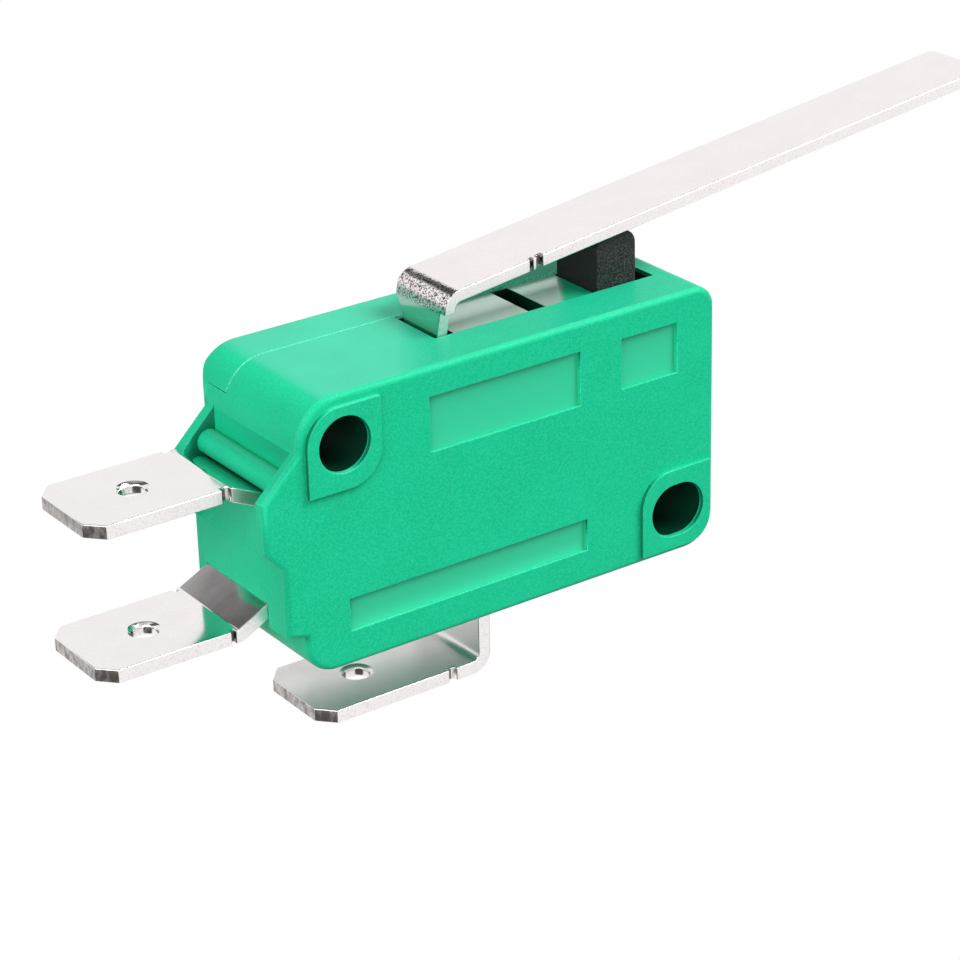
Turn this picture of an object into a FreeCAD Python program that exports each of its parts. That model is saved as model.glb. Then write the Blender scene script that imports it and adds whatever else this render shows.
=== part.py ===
"""Snap-action micro switch with a long hinged lever, three push-on tabs and two mounting holes.

Working axes: x runs along the case from the terminal end to the lever tip, y from the front face
to the cover, z up through the actuator. x and y are measured from the middle of the case and z from
its underside. Every piece is moved at the end so that the origin lies on the axis of the round
mounting hole, half way through the case.
"""
import math
import os

import FreeCAD
import Part

# Case and cover
CASE_LENGTH = 27.8
CASE_THICKNESS = 10.3
CASE_HEIGHT = 15.9
CORNER_TERMINAL_END_TOP = 2.5
CORNER_TERMINAL_END_BOTTOM = 1.9
CORNER_LEVER_END_TOP = 1.3
CORNER_LEVER_END_BOTTOM = 2.0
CORNER_FAR_PLAN = 1.25
SEAM_Y = 2.05
FRONT_WALL = 1.1
BACK_WALL = 1.1
SIDE_WALL = 1.0
EDGE_ROUND = 0.35
COVER_GAP = 0.03

X_LEFT = -CASE_LENGTH / 2
X_RIGHT = CASE_LENGTH / 2
Y_FRONT = -CASE_THICKNESS / 2
Y_BACK = CASE_THICKNESS / 2
Y_CAVITY_FRONT = Y_FRONT + FRONT_WALL
Y_CAVITY_BACK = Y_BACK - BACK_WALL
X_CAVITY_LEFT = X_LEFT + SIDE_WALL
X_CAVITY_RIGHT = X_RIGHT - SIDE_WALL
Z_CAVITY_BOTTOM = SIDE_WALL
Z_CAVITY_TOP = CASE_HEIGHT - SIDE_WALL

# Mounting holes
HOLE_INSET = 2.8
HOLE_RADIUS = 1.6
SLOT_HALF_SHIFT = 0.25
TUBE_WALL = 0.8
PAD_PROUD = 0.25
PAD_CORNER = 2.0
UPPER_PAD_INSET = 0.47
UPPER_PAD_DROP = 0.6
UPPER_PAD_LENGTH = 4.65
UPPER_PAD_HEIGHT = 4.8
LOWER_PAD_INSET = 0.4
LOWER_PAD_SIZE = 4.95
ROUND_HOLE_X = X_LEFT + HOLE_INSET
ROUND_HOLE_Z = CASE_HEIGHT - HOLE_INSET
SLOT_HOLE_X = X_RIGHT - HOLE_INSET
SLOT_HOLE_Z = HOLE_INSET
TUBE_RADIUS = HOLE_RADIUS + TUBE_WALL

# Sunk fields on the front face (x from, x to, z from, z to)
FIELD_DEPTH = 0.25
FIELDS = (
    (X_LEFT + 8.35, X_LEFT + 18.32, 11.0, 14.2),
    (X_RIGHT - 6.6, X_RIGHT - 2.7, 11.2, 14.2),
    (X_LEFT + 2.82, X_LEFT + 18.67, 2.05, 3.95),
)

# Terminal end of the case
FIN_THICKNESS = 0.75
FIN_REACH = 2.25
FIN_ROOT_Z = 13.07
FIN_TOP_Z = 10.88
FIN_BOTTOM_Z = 7.97
FAR_FIN_Y = 4.0
END_PLATE_DEPTH = 0.7
END_PLATE_TOP = 14.2
END_WALL_REACH = 1.15
END_WALL_TOP = 9.9
END_WALL_SHOULDER_Z = 6.75
END_WALL_LOW_Z = 2.75
END_LOW_Z = 2.45
END_PLATE_X = X_LEFT + END_PLATE_DEPTH
END_WALL_X = X_LEFT - END_WALL_REACH
FIN_X = X_LEFT - FIN_REACH
FIN_PROFILE = (
    (END_PLATE_X, FIN_ROOT_Z),
    (X_LEFT, FIN_ROOT_Z),
    (FIN_X, FIN_TOP_Z),
    (FIN_X, FIN_BOTTOM_Z),
    (END_WALL_X, END_WALL_SHOULDER_Z),
    (END_WALL_X, END_WALL_LOW_Z),
    (X_LEFT, END_LOW_Z),
    (END_PLATE_X, END_LOW_Z),
)
RIB_REACH = 0.45
RIB_X = X_LEFT - RIB_REACH
RIB_Z = 11.2
RIB_RADIUS = 0.7

# Top slots and opening
STRIP_DEPTH = 0.2
STRIP_FRONT_Y = -1.95
FOOT_FACE_X = -2.75
LEVER_SLOT_LEAD = 0.2
LEVER_SLOT_LENGTH = 1.5
SPARE_SLOT_SHIFT = 6.55
SPARE_SLOT_LENGTH = 1.15
LEVER_SLOT_X = FOOT_FACE_X - LEVER_SLOT_LEAD
SPARE_SLOT_X = LEVER_SLOT_X + SPARE_SLOT_SHIFT
LEVER_SLOT = (LEVER_SLOT_X, LEVER_SLOT_X + LEVER_SLOT_LENGTH)
SPARE_SLOT = (SPARE_SLOT_X, SPARE_SLOT_X + SPARE_SLOT_LENGTH)
PLUNGER_OPENING_INSET = 1.9
PLUNGER_OPENING_RIGHT = X_RIGHT - PLUNGER_OPENING_INSET

# Terminals
TAB_WIDTH = 6.3
TAB_THICKNESS = 0.8
TAB_REACH = 11.15
TAB_END_X = X_LEFT - TAB_REACH
TAB_CHAMFER_X = 0.9
TAB_CHAMFER_Y = 1.0
TAB_HOLE_RADIUS = 0.72
TAB_HOLE_RIM = 0.2
TAB_HOLE_FROM_END = 4.2
NICK_REACH = 3.4
NICK_X = X_LEFT - NICK_REACH
UPPER_NICK_WIDTH = 0.5
LOWER_NICK_WIDTH = 0.25
NICK_DEPTH = 0.3
BEND_INNER_RADIUS = 0.2
TERMINAL_GAP = 0.04
NARROW_REACH = 0.7
NARROW_FROM_X = X_LEFT - NARROW_REACH
NARROW_BACK_Y = 1.9
SHOULDER_REACH = 0.95
SHOULDER_Y = -2.45
UPPER_TAB_TOP = 11.45
UPPER_INNER_TOP = 10.1
LOWER_TAB_TOP = 3.17
LOWER_INNER_TOP = 4.9
BEND_START_REACH = 2.9
UPPER_BEND_LENGTH = 2.9
LOWER_BEND_LENGTH = 3.5
BEND_START_X = X_LEFT - BEND_START_REACH
CONTACT_INSET = 5.9
CONTACT_X = X_LEFT + CONTACT_INSET
TERMINAL_PAST_CONTACT = 1.7
INNER_END_X = CONTACT_X + TERMINAL_PAST_CONTACT
COMMON_TAB_TOP = -3.75
COMMON_LEG_X = -1.05
COMMON_TAB_LENGTH = 10.85
COMMON_END_X = COMMON_LEG_X - COMMON_TAB_LENGTH
COMMON_NICK_FROM_LEG = 2.45
COMMON_NICK_X = COMMON_LEG_X - COMMON_NICK_FROM_LEG
COMMON_BEND_RADIUS = 0.45

# Plunger
PLUNGER_WIDTH = 2.7
PLUNGER_INSET = 5.8
PLUNGER_LEFT = X_RIGHT - PLUNGER_INSET
PLUNGER_RIGHT = PLUNGER_LEFT + PLUNGER_WIDTH
PLUNGER_HALF_Y = 1.9
PLUNGER_TOP_ROUND = 0.8
PLUNGER_NOSE = 0.8
PLUNGER_FLANGE_RIGHT = PLUNGER_OPENING_RIGHT - 0.1
PLUNGER_FLANGE_HEIGHT = 1.6
PLUNGER_GUIDE_GAP = 0.05
GUIDE_WALL = 1.0
GUIDE_BOTTOM = 9.6
GUIDE_RIGHT_TOP = 11.3

# Contact blade and contacts
MECH_Y = -0.6
PIVOT_X = COMMON_LEG_X
PIVOT_Z = 6.55
PIVOT_ROUND = 0.4
PIVOT_GAP = 0.03
BLADE_THICKNESS = 0.3
BLADE_WIDTH = 3.4
BLADE_REST_TILT = 4.0
BLADE_PAST_CONTACT = 1.65
BLADE_SHORT_OF_PLUNGER = 0.2
BLADE_LEFT = PIVOT_X - CONTACT_X + BLADE_PAST_CONTACT
BLADE_RIGHT = PLUNGER_RIGHT - PIVOT_X - BLADE_SHORT_OF_PLUNGER
BLADE_OVER_PIVOT = PIVOT_ROUND + PIVOT_GAP + BLADE_THICKNESS / 2
POST_WIDTH = 4.2
POST_TONGUE_WIDTH = 1.0
POST_TONGUE_TOP = 1.9
WINDOW_GAP = 0.2
CONTACT_RADIUS = 1.4
CONTACT_SHANK = 0.7
CONTACT_HALF = 1.0
CONTACT_DOME = 4.0
CONTACT_GAP = 0.03
SHANK_GAP = 0.02
UPSET_HEAD = 0.3

# Return spring
SPRING_FROM_PLUNGER = 3.1
SPRING_X = PLUNGER_LEFT - SPRING_FROM_PLUNGER
SPRING_RADIUS = 1.35
SPRING_WIRE = 0.16
SPRING_TURNS = 5
SPRING_WIRE_SIDES = 8
SPRING_PEG_RADIUS = 0.9
SPRING_PEG_HEIGHT = 1.3
SPRING_GAP = 0.03

# Lever
LEVER_THICKNESS = 0.7
LEVER_WIDTH = 4.7
LEVER_REACH = 39.7
LEVER_TIP_X = FOOT_FACE_X + LEVER_REACH
LEVER_TILT = 7.0
LEVER_TOP_Z = 18.45
LEVER_TOP_FROM_FOOT = 1.25
LEVER_TOP_X = FOOT_FACE_X + LEVER_TOP_FROM_FOOT
LEVER_BEND_RADIUS = 0.4
LEVER_CORNER = 0.6
LEVER_GAP = 0.03
FOOT_LEAN = 9.5
FOOT_NEAR_Y = -1.85
FOOT_FAR_Y = 1.35
FOOT_SHOULDER_Z = 17.15
FOOT_TAPER_LOW_Z = 15.9
EAR_RADIUS = LEVER_THICKNESS / 2
EAR_HALF_Y = 2.5
HINGE_Z = Z_CAVITY_TOP - LEVER_GAP - EAR_RADIUS
LEVER_NICKS = ((LEVER_TOP_X + 5.15, 0.4, 0.3), (LEVER_TOP_X + 4.7, 0.2, 0.25))
POCKET_FLOOR_Z = HINGE_Z - EAR_RADIUS - 0.2
POCKET_BLOCK = 1.2

ORIGIN = FreeCAD.Vector(ROUND_HOLE_X, 0, ROUND_HOLE_Z)
UP = FreeCAD.Vector(0, 0, 1)
AWAY = FreeCAD.Vector(0, 1, 0)


def sin_deg(angle):
    return math.sin(math.radians(angle))


def cos_deg(angle):
    return math.cos(math.radians(angle))


def tan_deg(angle):
    return math.tan(math.radians(angle))


def box(x0, x1, y0, y1, z0, z1):
    return Part.makeBox(x1 - x0, y1 - y0, z1 - z0, FreeCAD.Vector(x0, y0, z0))


def cylinder_y(x, z, radius, y0, y1):
    return Part.makeCylinder(radius, y1 - y0, FreeCAD.Vector(x, y0, z), AWAY)


def prism(points, y0, y1):
    """Closed outline in x and z, drawn through the thickness from y0 to y1."""
    corners = [FreeCAD.Vector(x, y0, z) for x, z in points]
    face = Part.Face(Part.makePolygon(corners + corners[:1]))
    return face.extrude(FreeCAD.Vector(0, y1 - y0, 0))


def rounded_plate(x0, x1, z0, z1, y0, y1, radii):
    """Rectangle with corner radii in the order low-left, low-right, top-right, top-left."""
    plate = box(x0, x1, y0, y1, z0, z1)
    corners = ((x0, z0), (x1, z0), (x1, z1), (x0, z1))
    for (cx, cz), radius in zip(corners, radii):
        if radius <= 0:
            continue
        edges = [e for e in plate.Edges if is_depth_edge(e, cx, cz)]
        plate = plate.makeFillet(radius, edges)
    return plate


def is_depth_edge(edge, x, z):
    """True for the straight edge along y that stands at x and z."""
    a = edge.Vertexes[0].Point
    b = edge.Vertexes[-1].Point
    near = all(abs(p.x - x) < 1e-6 and abs(p.z - z) < 1e-6 for p in (a, b))
    return near and abs(a.y - b.y) > 1e-6


def slot_shape(x, z, radius, half_shift, y0, y1):
    """Round hole drawn out along x by half_shift on each side."""
    shape = cylinder_y(x - half_shift, z, radius, y0, y1)
    shape = shape.fuse(cylinder_y(x + half_shift, z, radius, y0, y1))
    middle = box(x - half_shift, x + half_shift, y0, y1, z - radius, z + radius)
    return shape.fuse(middle).removeSplitter()


def offset_side(points, half, inner_radius, side):
    """One side of a bent strip: straight runs and the arcs of its bends, as edges in x and z."""
    edges = []
    last = None
    count = len(points)
    for i, (px, pz) in enumerate(points):
        if i == 0 or i == count - 1:
            qx, qz = points[1] if i == 0 else points[-2]
            dx, dz = (qx - px, qz - pz) if i == 0 else (px - qx, pz - qz)
            length = math.hypot(dx, dz)
            point = (px - side * half * dz / length, pz + side * half * dx / length)
            if last is not None:
                edges.append(("line", last, point))
            last = point
            continue
        ax, az = points[i - 1]
        bx, bz = points[i + 1]
        d0 = math.atan2(pz - az, px - ax)
        d1 = math.atan2(bz - pz, bx - px)
        turn = math.atan2(math.sin(d1 - d0), math.cos(d1 - d0))
        way = 1 if turn > 0 else -1
        middle = inner_radius + half
        back = middle * math.tan(abs(turn) / 2)
        sx, sz = px - back * math.cos(d0), pz - back * math.sin(d0)
        cx, cz = sx - way * middle * math.sin(d0), sz + way * middle * math.cos(d0)
        radius = middle - side * way * half
        arc = []
        for d in (d0, d0 + turn / 2, d1):
            arc.append((cx + way * radius * math.sin(d), cz - way * radius * math.cos(d)))
        edges.append(("line", last, arc[0]))
        edges.append(("arc", arc[0], arc[1], arc[2]))
        last = arc[2]
    return edges


def bent_strip(points, thickness, inner_radius, y0, y1):
    """Sheet of constant thickness that follows the middle line through points in x and z."""
    sides = []
    for side in (1, -1):
        edges = []
        for item in offset_side(points, thickness / 2, inner_radius, side):
            ends = [FreeCAD.Vector(x, y0, z) for x, z in item[1:]]
            if item[0] == "line":
                edges.append(Part.LineSegment(*ends).toShape())
            else:
                edges.append(Part.Arc(*ends).toShape())
        sides.append(edges)
    starts = [s[0].Vertexes[0].Point for s in sides]
    ends = [s[-1].Vertexes[-1].Point for s in sides]
    caps = [Part.LineSegment(*starts).toShape(), Part.LineSegment(*ends).toShape()]
    loose = sides[0] + sides[1] + caps
    wire = Part.Wire(Part.__sortEdges__(loose))
    return Part.Face(wire).extrude(FreeCAD.Vector(0, y1 - y0, 0))


def case_outline(y0, y1):
    radii = (CORNER_TERMINAL_END_BOTTOM, CORNER_LEVER_END_BOTTOM, CORNER_LEVER_END_TOP,
             CORNER_TERMINAL_END_TOP)
    return rounded_plate(X_LEFT, X_RIGHT, 0, CASE_HEIGHT, y0, y1, radii)


def soften_face(solid, y, radius):
    """Round the outline edges of the flat face that lies at y."""
    edges = [e for e in solid.Edges if all(abs(v.Point.y - y) < 1e-6 for v in e.Vertexes)]
    return solid.makeFillet(radius, edges)


def mounting_tubes(y0, y1, extra):
    radius = TUBE_RADIUS + extra
    tube = cylinder_y(ROUND_HOLE_X, ROUND_HOLE_Z, radius, y0, y1)
    long_tube = slot_shape(SLOT_HOLE_X, SLOT_HOLE_Z, radius, SLOT_HALF_SHIFT, y0, y1)
    return tube, long_tube


def mounting_holes(y0, y1):
    hole = cylinder_y(ROUND_HOLE_X, ROUND_HOLE_Z, HOLE_RADIUS, y0, y1)
    long_hole = slot_shape(SLOT_HOLE_X, SLOT_HOLE_Z, HOLE_RADIUS, SLOT_HALF_SHIFT, y0, y1)
    return hole, long_hole


def mounting_pads():
    """The two raised pads around the holes; each follows its case corner."""
    y0 = Y_FRONT - PAD_PROUD
    y1 = Y_FRONT + EDGE_ROUND + 0.1
    left = X_LEFT + UPPER_PAD_INSET
    top = CASE_HEIGHT - UPPER_PAD_DROP
    upper = rounded_plate(left, left + UPPER_PAD_LENGTH, top - UPPER_PAD_HEIGHT, top, y0, y1,
                          (0, PAD_CORNER, 0, CORNER_TERMINAL_END_TOP - UPPER_PAD_INSET))
    right = X_RIGHT - LOWER_PAD_INSET
    low = LOWER_PAD_INSET
    lower = rounded_plate(right - LOWER_PAD_SIZE, right, low, low + LOWER_PAD_SIZE, y0, y1,
                          (0, CORNER_LEVER_END_BOTTOM - LOWER_PAD_INSET, 0, PAD_CORNER))
    return upper, lower


def front_shell():
    """Outline of the case and its near fin in one, with the rounded edge of the front face."""
    fin = prism(FIN_PROFILE, Y_FRONT, Y_FRONT + FIN_THICKNESS)
    whole = case_outline(Y_FRONT, SEAM_Y).fuse(fin).removeSplitter()
    return soften_face(whole, Y_FRONT, EDGE_ROUND)


def end_structure():
    """Far fin, wall and rib that hold the two end terminals, and the plate behind them."""
    near = Y_FRONT + FIN_THICKNESS - 0.2
    far = prism(FIN_PROFILE, FAR_FIN_Y - FIN_THICKNESS, FAR_FIN_Y)
    wall = box(END_WALL_X, X_LEFT + 0.2, near, FAR_FIN_Y, END_WALL_LOW_Z, END_WALL_TOP)
    rib = cylinder_y(RIB_X, RIB_Z, RIB_RADIUS, near, FAR_FIN_Y - 0.2)
    rib_back = box(RIB_X, X_LEFT + 0.2, near, FAR_FIN_Y, RIB_Z - RIB_RADIUS, RIB_Z)
    plate = box(X_LEFT, END_PLATE_X, SEAM_Y - 0.5, FAR_FIN_Y, END_LOW_Z, END_PLATE_TOP)
    plate = plate.common(case_outline(SEAM_Y - 0.5, FAR_FIN_Y))
    return far.fuse([wall, rib, rib_back, plate])


def upper_terminal_line():
    half = TAB_THICKNESS / 2
    return (
        (TAB_END_X, UPPER_TAB_TOP - half),
        (BEND_START_X, UPPER_TAB_TOP - half),
        (BEND_START_X + UPPER_BEND_LENGTH, UPPER_INNER_TOP - half),
        (INNER_END_X, UPPER_INNER_TOP - half),
    )


def lower_terminal_line():
    half = TAB_THICKNESS / 2
    return (
        (TAB_END_X, LOWER_TAB_TOP - half),
        (BEND_START_X, LOWER_TAB_TOP - half),
        (BEND_START_X + LOWER_BEND_LENGTH, LOWER_INNER_TOP - half),
        (INNER_END_X, LOWER_INNER_TOP - half),
    )


def terminal_slots():
    """Ways for the three terminals, with TERMINAL_GAP all round, open towards the cover."""
    gap = TERMINAL_GAP
    thick = TAB_THICKNESS + 2 * gap
    half = TAB_WIDTH / 2 + gap
    cuts = []
    for line in (upper_terminal_line(), lower_terminal_line()):
        whole = bent_strip(line, thick, BEND_INNER_RADIUS - gap, -half, half)
        wide = box(TAB_END_X, NARROW_FROM_X + gap, -half, half, 0, CASE_HEIGHT)
        inner = box(NARROW_FROM_X, INNER_END_X, -half, SEAM_Y + 0.5, 0, CASE_HEIGHT)
        cuts.append(whole.common(wide))
        cuts.append(whole.common(inner))
    leg = COMMON_LEG_X
    part = TAB_THICKNESS / 2 + gap
    cuts.append(box(leg - part, leg + part, -half, SEAM_Y + 0.5, -1, SIDE_WALL + 0.5))
    return cuts


def under_neck():
    """Space below the lower terminal between the fins, open at the bottom."""
    low = END_LOW_Z - 0.1
    start = END_WALL_X - 0.15
    points = ((start, low), (X_LEFT, low), (X_LEFT, 4.15), (start, 3.4))
    return prism(points, -TAB_WIDTH / 2 - TERMINAL_GAP, TAB_WIDTH / 2 + TERMINAL_GAP)


def top_cuts():
    """Sunk strip, the two lever slots and the plunger opening, all ending at the seam."""
    over = CASE_HEIGHT + 0.5
    floor = CASE_HEIGHT - STRIP_DEPTH
    back = SEAM_Y + 0.5
    opening_left = PLUNGER_LEFT - PLUNGER_GUIDE_GAP
    cuts = [box(LEVER_SLOT[0], PLUNGER_OPENING_RIGHT, STRIP_FRONT_Y, back, floor, over)]
    for x0, x1 in (LEVER_SLOT, SPARE_SLOT, (opening_left, PLUNGER_OPENING_RIGHT)):
        cuts.append(box(x0, x1, STRIP_FRONT_Y, back, Z_CAVITY_TOP - 0.5, over))
    return cuts


def inner_blocks():
    """Blocks on the inside of the front wall: foot rests, plunger guides, terminal rests, peg."""
    front = Y_CAVITY_FRONT - 0.3
    blocks = []
    for x0, x1 in (LEVER_SLOT, SPARE_SLOT):
        blocks.append(box(x0 - 0.8, x1 + 0.6, front, NARROW_BACK_Y,
                          POCKET_FLOOR_Z - POCKET_BLOCK, POCKET_FLOOR_Z))
    left = PLUNGER_LEFT - PLUNGER_GUIDE_GAP
    blocks.append(box(left - GUIDE_WALL, left, front, NARROW_BACK_Y, GUIDE_BOTTOM,
                      Z_CAVITY_TOP + 0.2))
    right = PLUNGER_RIGHT + PLUNGER_GUIDE_GAP
    blocks.append(box(right, X_CAVITY_RIGHT + 0.3, front, NARROW_BACK_Y, GUIDE_BOTTOM,
                      GUIDE_RIGHT_TOP))
    upper = UPPER_INNER_TOP - TAB_THICKNESS - TERMINAL_GAP
    blocks.append(box(X_CAVITY_LEFT - 0.3, CONTACT_X - 2.2, front, NARROW_BACK_Y, upper - 0.9,
                      upper))
    lower = LOWER_INNER_TOP - TAB_THICKNESS - TERMINAL_GAP
    blocks.append(box(X_CAVITY_LEFT - 0.3, CONTACT_X - 1.4, front, NARROW_BACK_Y,
                      Z_CAVITY_BOTTOM - 0.3, lower))
    peg = Part.makeCylinder(SPRING_PEG_RADIUS, SPRING_PEG_HEIGHT + 0.3,
                            FreeCAD.Vector(SPRING_X, MECH_Y, Z_CAVITY_BOTTOM - 0.3), UP)
    blocks.append(peg)
    return blocks


def make_case():
    body = front_shell().fuse(end_structure())
    body = body.fuse(list(mounting_pads()))
    cavity = box(X_CAVITY_LEFT, X_CAVITY_RIGHT, Y_CAVITY_FRONT, SEAM_Y + 0.5,
                 Z_CAVITY_BOTTOM, Z_CAVITY_TOP)
    body = body.cut(cavity)
    tubes = mounting_tubes(Y_CAVITY_FRONT - 0.3, Y_CAVITY_BACK - COVER_GAP, 0)
    body = body.fuse(list(tubes) + inner_blocks())
    cuts = top_cuts() + terminal_slots() + [under_neck()]
    cuts += list(mounting_holes(Y_FRONT - 1, Y_BACK + 1))
    for x0, x1, z0, z1 in FIELDS:
        cuts.append(box(x0, x1, Y_FRONT - 0.5, Y_FRONT + FIELD_DEPTH, z0, z1))
    return body.cut(cuts).removeSplitter()


def make_cover():
    start = SEAM_Y + COVER_GAP
    body = soften_face(case_outline(start, Y_BACK), Y_BACK, EDGE_ROUND)
    cavity = box(END_PLATE_X + SIDE_WALL, X_CAVITY_RIGHT, start - 0.5, Y_CAVITY_BACK,
                 Z_CAVITY_BOTTOM, Z_CAVITY_TOP)
    gap = COVER_GAP
    end_space = box(X_LEFT - 1, END_PLATE_X + gap, start - 0.5, FAR_FIN_Y + gap, END_LOW_Z - gap,
                    END_PLATE_TOP + gap)
    radius = CORNER_FAR_PLAN
    corner = FreeCAD.Vector(X_LEFT + radius, Y_BACK - radius, 0)
    kept = Part.makeCylinder(radius, CASE_HEIGHT, corner, UP)
    far_edge = box(X_LEFT - 1, corner.x, corner.y, Y_BACK + 1, 0, CASE_HEIGHT).cut(kept)
    cuts = [cavity, end_space, far_edge]
    cuts += list(mounting_tubes(start - 0.5, Y_CAVITY_BACK, gap))
    cuts += list(mounting_holes(start - 1, Y_BACK + 1))
    return body.cut(cuts).removeSplitter()


def tab_cuts(end_x, top, nick_x, nick_width):
    """End corners, side nicks and the rimmed hole of a flat tab whose end is at end_x."""
    half = TAB_WIDTH / 2
    low = top - TAB_THICKNESS - 0.2
    high = top + 0.2
    cuts = []
    for side in (-1, 1):
        corner = [FreeCAD.Vector(end_x - 0.5, side * (half + 0.5), low),
                  FreeCAD.Vector(end_x - 0.5, side * (half - TAB_CHAMFER_Y), low),
                  FreeCAD.Vector(end_x, side * (half - TAB_CHAMFER_Y), low),
                  FreeCAD.Vector(end_x + TAB_CHAMFER_X, side * half, low),
                  FreeCAD.Vector(end_x + TAB_CHAMFER_X, side * (half + 0.5), low)]
        face = Part.Face(Part.makePolygon(corner + corner[:1]))
        cuts.append(face.extrude(FreeCAD.Vector(0, 0, high - low)))
        y0, y1 = sorted((side * (half - NICK_DEPTH), side * (half + 0.5)))
        cuts.append(box(nick_x, nick_x + nick_width, y0, y1, low, high))
    x = end_x + TAB_HOLE_FROM_END
    cuts.append(Part.makeCylinder(TAB_HOLE_RADIUS, high - low, FreeCAD.Vector(x, 0, low), UP))
    for z, r0, r1 in ((top - TAB_HOLE_RIM, TAB_HOLE_RADIUS, TAB_HOLE_RADIUS + TAB_HOLE_RIM),
                      (top - TAB_THICKNESS, TAB_HOLE_RADIUS + TAB_HOLE_RIM, TAB_HOLE_RADIUS)):
        cuts.append(Part.makeCone(r0, r1, TAB_HOLE_RIM, FreeCAD.Vector(x, 0, z), UP))
    return cuts


def end_terminal(line, tab_top, nick_width):
    half = TAB_WIDTH / 2
    strip = bent_strip(line, TAB_THICKNESS, BEND_INNER_RADIUS, -half, half)
    narrow = box(NARROW_FROM_X, 0, NARROW_BACK_Y, half + 1, -1, CASE_HEIGHT)
    rivet_hole = Part.makeCylinder(CONTACT_SHANK + SHANK_GAP, CASE_HEIGHT,
                                   FreeCAD.Vector(CONTACT_X, MECH_Y, 0), UP)
    cuts = [narrow, rivet_hole] + tab_cuts(TAB_END_X, tab_top, NICK_X, nick_width)
    return strip.cut(cuts)


def make_lower_terminal():
    """Lower end terminal; its near side stops at a shoulder in front of the case wall."""
    terminal = end_terminal(lower_terminal_line(), LOWER_TAB_TOP, LOWER_NICK_WIDTH)
    shoulder = box(X_LEFT - SHOULDER_REACH, 0, -TAB_WIDTH, SHOULDER_Y, 0, CASE_HEIGHT)
    return terminal.cut(shoulder)


def make_common_terminal():
    half = TAB_WIDTH / 2
    top = PIVOT_Z + POST_TONGUE_TOP
    line = ((COMMON_END_X, COMMON_TAB_TOP - TAB_THICKNESS / 2),
            (COMMON_LEG_X, COMMON_TAB_TOP - TAB_THICKNESS / 2), (COMMON_LEG_X, top))
    strip = bent_strip(line, TAB_THICKNESS, COMMON_BEND_RADIUS, -half, half)
    x0, x1 = COMMON_LEG_X - 1, COMMON_LEG_X + 1
    y0, y1 = MECH_Y - POST_WIDTH / 2, MECH_Y + POST_WIDTH / 2
    t0, t1 = MECH_Y - POST_TONGUE_WIDTH / 2, MECH_Y + POST_TONGUE_WIDTH / 2
    shoulder = Z_CAVITY_BOTTOM + 1.2
    cuts = [box(x0, x1, NARROW_BACK_Y, half + 1, -0.8, top + 1),
            box(x0, x1, -half - 1, y0, shoulder, top + 1),
            box(x0, x1, y1, half + 1, shoulder, top + 1),
            box(x0, x1, y0 - 0.1, t0, PIVOT_Z, top + 1),
            box(x0, x1, t1, y1 + 0.1, PIVOT_Z, top + 1)]
    cuts += tab_cuts(COMMON_END_X, COMMON_TAB_TOP, COMMON_NICK_X, UPPER_NICK_WIDTH)
    strip = strip.cut(cuts)
    saddle = cylinder_y(PIVOT_X, PIVOT_Z, PIVOT_ROUND, y0, y1)
    return strip.fuse(saddle).removeSplitter()


def blade_frame(shape):
    """Tilt a shape that is drawn level about the pivot into the rest position."""
    turned = shape.copy()
    turned.rotate(FreeCAD.Vector(PIVOT_X, 0, PIVOT_Z), AWAY, -BLADE_REST_TILT)
    return turned


def make_contact_blade():
    half = BLADE_WIDTH / 2
    mid = PIVOT_Z + BLADE_OVER_PIVOT
    z0, z1 = mid - BLADE_THICKNESS / 2, mid + BLADE_THICKNESS / 2
    plate = box(PIVOT_X - BLADE_LEFT, PIVOT_X + BLADE_RIGHT, MECH_Y - half, MECH_Y + half, z0, z1)
    reach = TAB_THICKNESS / 2 + WINDOW_GAP
    side = POST_TONGUE_WIDTH / 2 + WINDOW_GAP / 2
    window = box(PIVOT_X - reach, PIVOT_X + reach, MECH_Y - side, MECH_Y + side, z0 - 1, z1 + 1)
    hole = Part.makeCylinder(CONTACT_SHANK + SHANK_GAP, 4, FreeCAD.Vector(CONTACT_X, MECH_Y, z0 - 1),
                             UP)
    return blade_frame(plate.cut([window, hole]))


def dome_head(z, direction, thickness):
    """Contact head that ends in a shallow dome; z is the plane that it is seated on."""
    base = FreeCAD.Vector(CONTACT_X, MECH_Y, z)
    disc = Part.makeCylinder(CONTACT_RADIUS, thickness, base, FreeCAD.Vector(0, 0, direction))
    centre = FreeCAD.Vector(CONTACT_X, MECH_Y, z + direction * (thickness - CONTACT_DOME))
    return disc.common(Part.makeSphere(CONTACT_DOME, centre))


def make_moving_contact():
    mid = PIVOT_Z + BLADE_OVER_PIVOT
    part = BLADE_THICKNESS / 2
    upper = dome_head(mid + part, 1, CONTACT_HALF - part)
    lower = dome_head(mid - part, -1, CONTACT_HALF - part)
    shank = Part.makeCylinder(CONTACT_SHANK, BLADE_THICKNESS,
                              FreeCAD.Vector(CONTACT_X, MECH_Y, mid - part), UP)
    return blade_frame(upper.fuse([lower, shank]).removeSplitter())


def dome_reach(direction, tilt):
    """Height of the moving contact's outermost point when the blade has turned to tilt."""
    centre = BLADE_OVER_PIVOT + direction * (CONTACT_HALF - CONTACT_DOME)
    arm = CONTACT_X - PIVOT_X
    return PIVOT_Z + centre * cos_deg(tilt) + arm * sin_deg(tilt) + direction * CONTACT_DOME


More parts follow.
